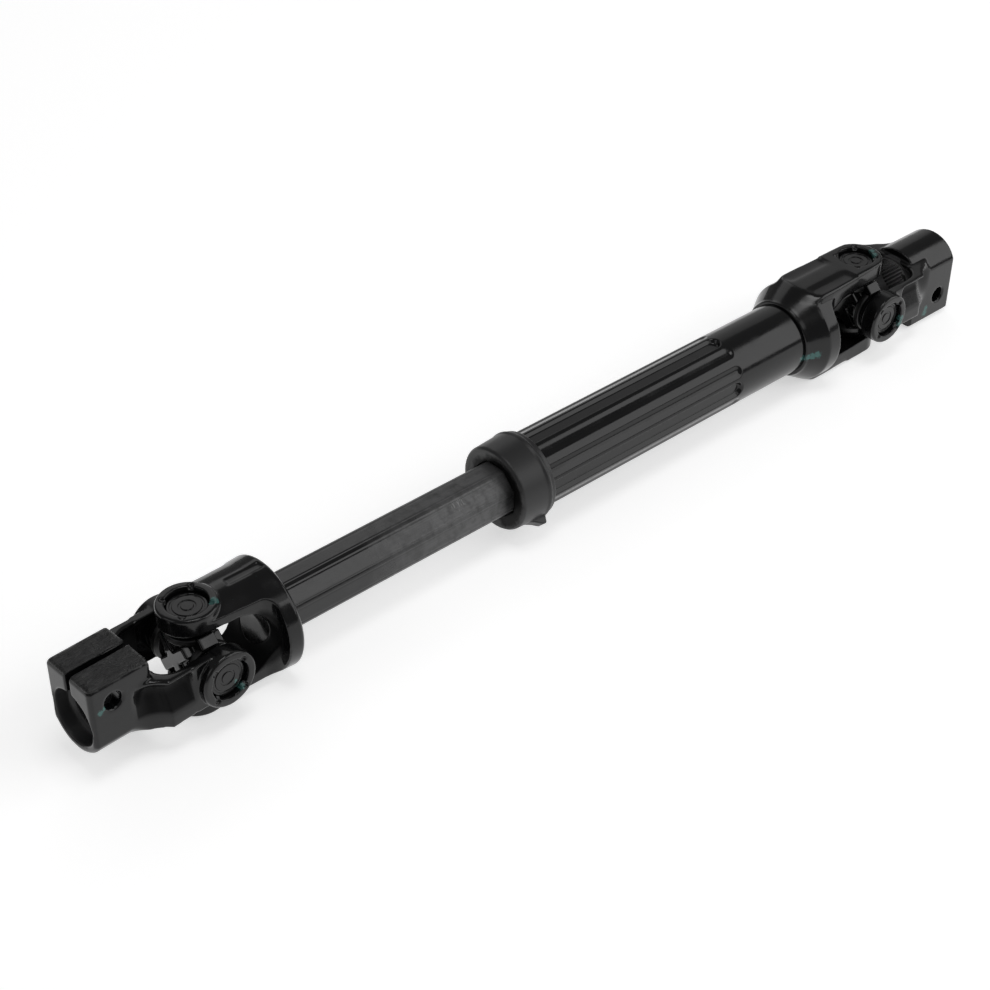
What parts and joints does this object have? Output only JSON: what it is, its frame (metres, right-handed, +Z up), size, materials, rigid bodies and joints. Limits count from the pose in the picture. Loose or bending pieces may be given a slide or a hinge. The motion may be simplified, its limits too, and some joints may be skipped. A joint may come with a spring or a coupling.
{
  "type": "steering shaft with universal joints",
  "caption": "Telescoping steering intermediate shaft with a forged cross joint and a slit clamp yoke at each end.",
  "frame": {"origin": "on the surface that the shaft lies on, under the middle of its length and width", "axes": "+X along the shaft from the front joint to the rear joint, +Z up through the forks' ears"},
  "size_m": [0.4674, 0.0458, 0.045],
  "materials": {
    "forging_paint": "gloss black paint over a forged surface",
    "tube_paint": "satin black paint over drawn steel",
    "cross_paint": "gloss black paint over forged and ground steel",
    "shaft_steel": "dark drawn steel, black paint fading off towards the tube",
    "bearing_steel": "ground bearing steel",
    "seal_rubber": "matt black rubber",
    "collar_rubber": "matt black rubber, greasy round the shaft",
    "sleeve_polymer": "low-friction polymer"
  },
  "bodies": {
    "tube": {"outer_tube": "tube_paint", "seal_collar": "collar_rubber", "rear_fork": "forging_paint", "rear_cup_upper": "cross_paint", "rear_cup_lower": "cross_paint", "rear_needles_upper": "bearing_steel", "rear_needles_lower": "bearing_steel"},
    "rear_spider": {"rear_cross": "cross_paint", "rear_seal_left": "seal_rubber", "rear_seal_right": "seal_rubber", "rear_seal_upper": "seal_rubber", "rear_seal_lower": "seal_rubber"},
    "rear_yoke": {"rear_clamp_yoke": "forging_paint", "rear_cup_left": "cross_paint", "rear_cup_right": "cross_paint", "rear_needles_left": "bearing_steel", "rear_needles_right": "bearing_steel"},
    "slip_shaft": {"inner_shaft": "shaft_steel", "slide_sleeve": "sleeve_polymer", "front_fork": "forging_paint", "front_cup_upper": "cross_paint", "front_cup_lower": "cross_paint", "front_needles_upper": "bearing_steel", "front_needles_lower": "bearing_steel"},
    "front_spider": {"front_cross": "cross_paint", "front_seal_left": "seal_rubber", "front_seal_right": "seal_rubber", "front_seal_upper": "seal_rubber", "front_seal_lower": "seal_rubber"},
    "front_yoke": {"front_clamp_yoke": "forging_paint", "front_cup_left": "cross_paint", "front_cup_right": "cross_paint", "front_needles_left": "bearing_steel", "front_needles_right": "bearing_steel"}
  },
  "joints": [
    {"name": "slip", "type": "slide", "parent": "tube", "child": "slip_shaft", "axis": [1, 0, 0], "range_m": [-0.045, 0.034]},
    {"name": "rear_swing", "type": "hinge", "parent": "tube", "child": "rear_spider", "pos_m": [0.17673, 0, 0.0225], "axis": [0, 0, 1], "range_deg": [-30, 30]},
    {"name": "rear_tilt", "type": "hinge", "parent": "rear_spider", "child": "rear_yoke", "pos_m": [0.17673, 0, 0.0225], "axis": [0, 1, 0], "range_deg": [-30, 30]},
    {"name": "front_swing", "type": "hinge", "parent": "slip_shaft", "child": "front_spider", "pos_m": [-0.18227, 0, 0.0225], "axis": [0, 0, 1], "range_deg": [-32.5, 27.5]},
    {"name": "front_tilt", "type": "hinge", "parent": "front_spider", "child": "front_yoke", "pos_m": [-0.18227, 0, 0.0225], "axis": [-0.0436, 0.999, 0], "range_deg": [-30, 30]}
  ]
}
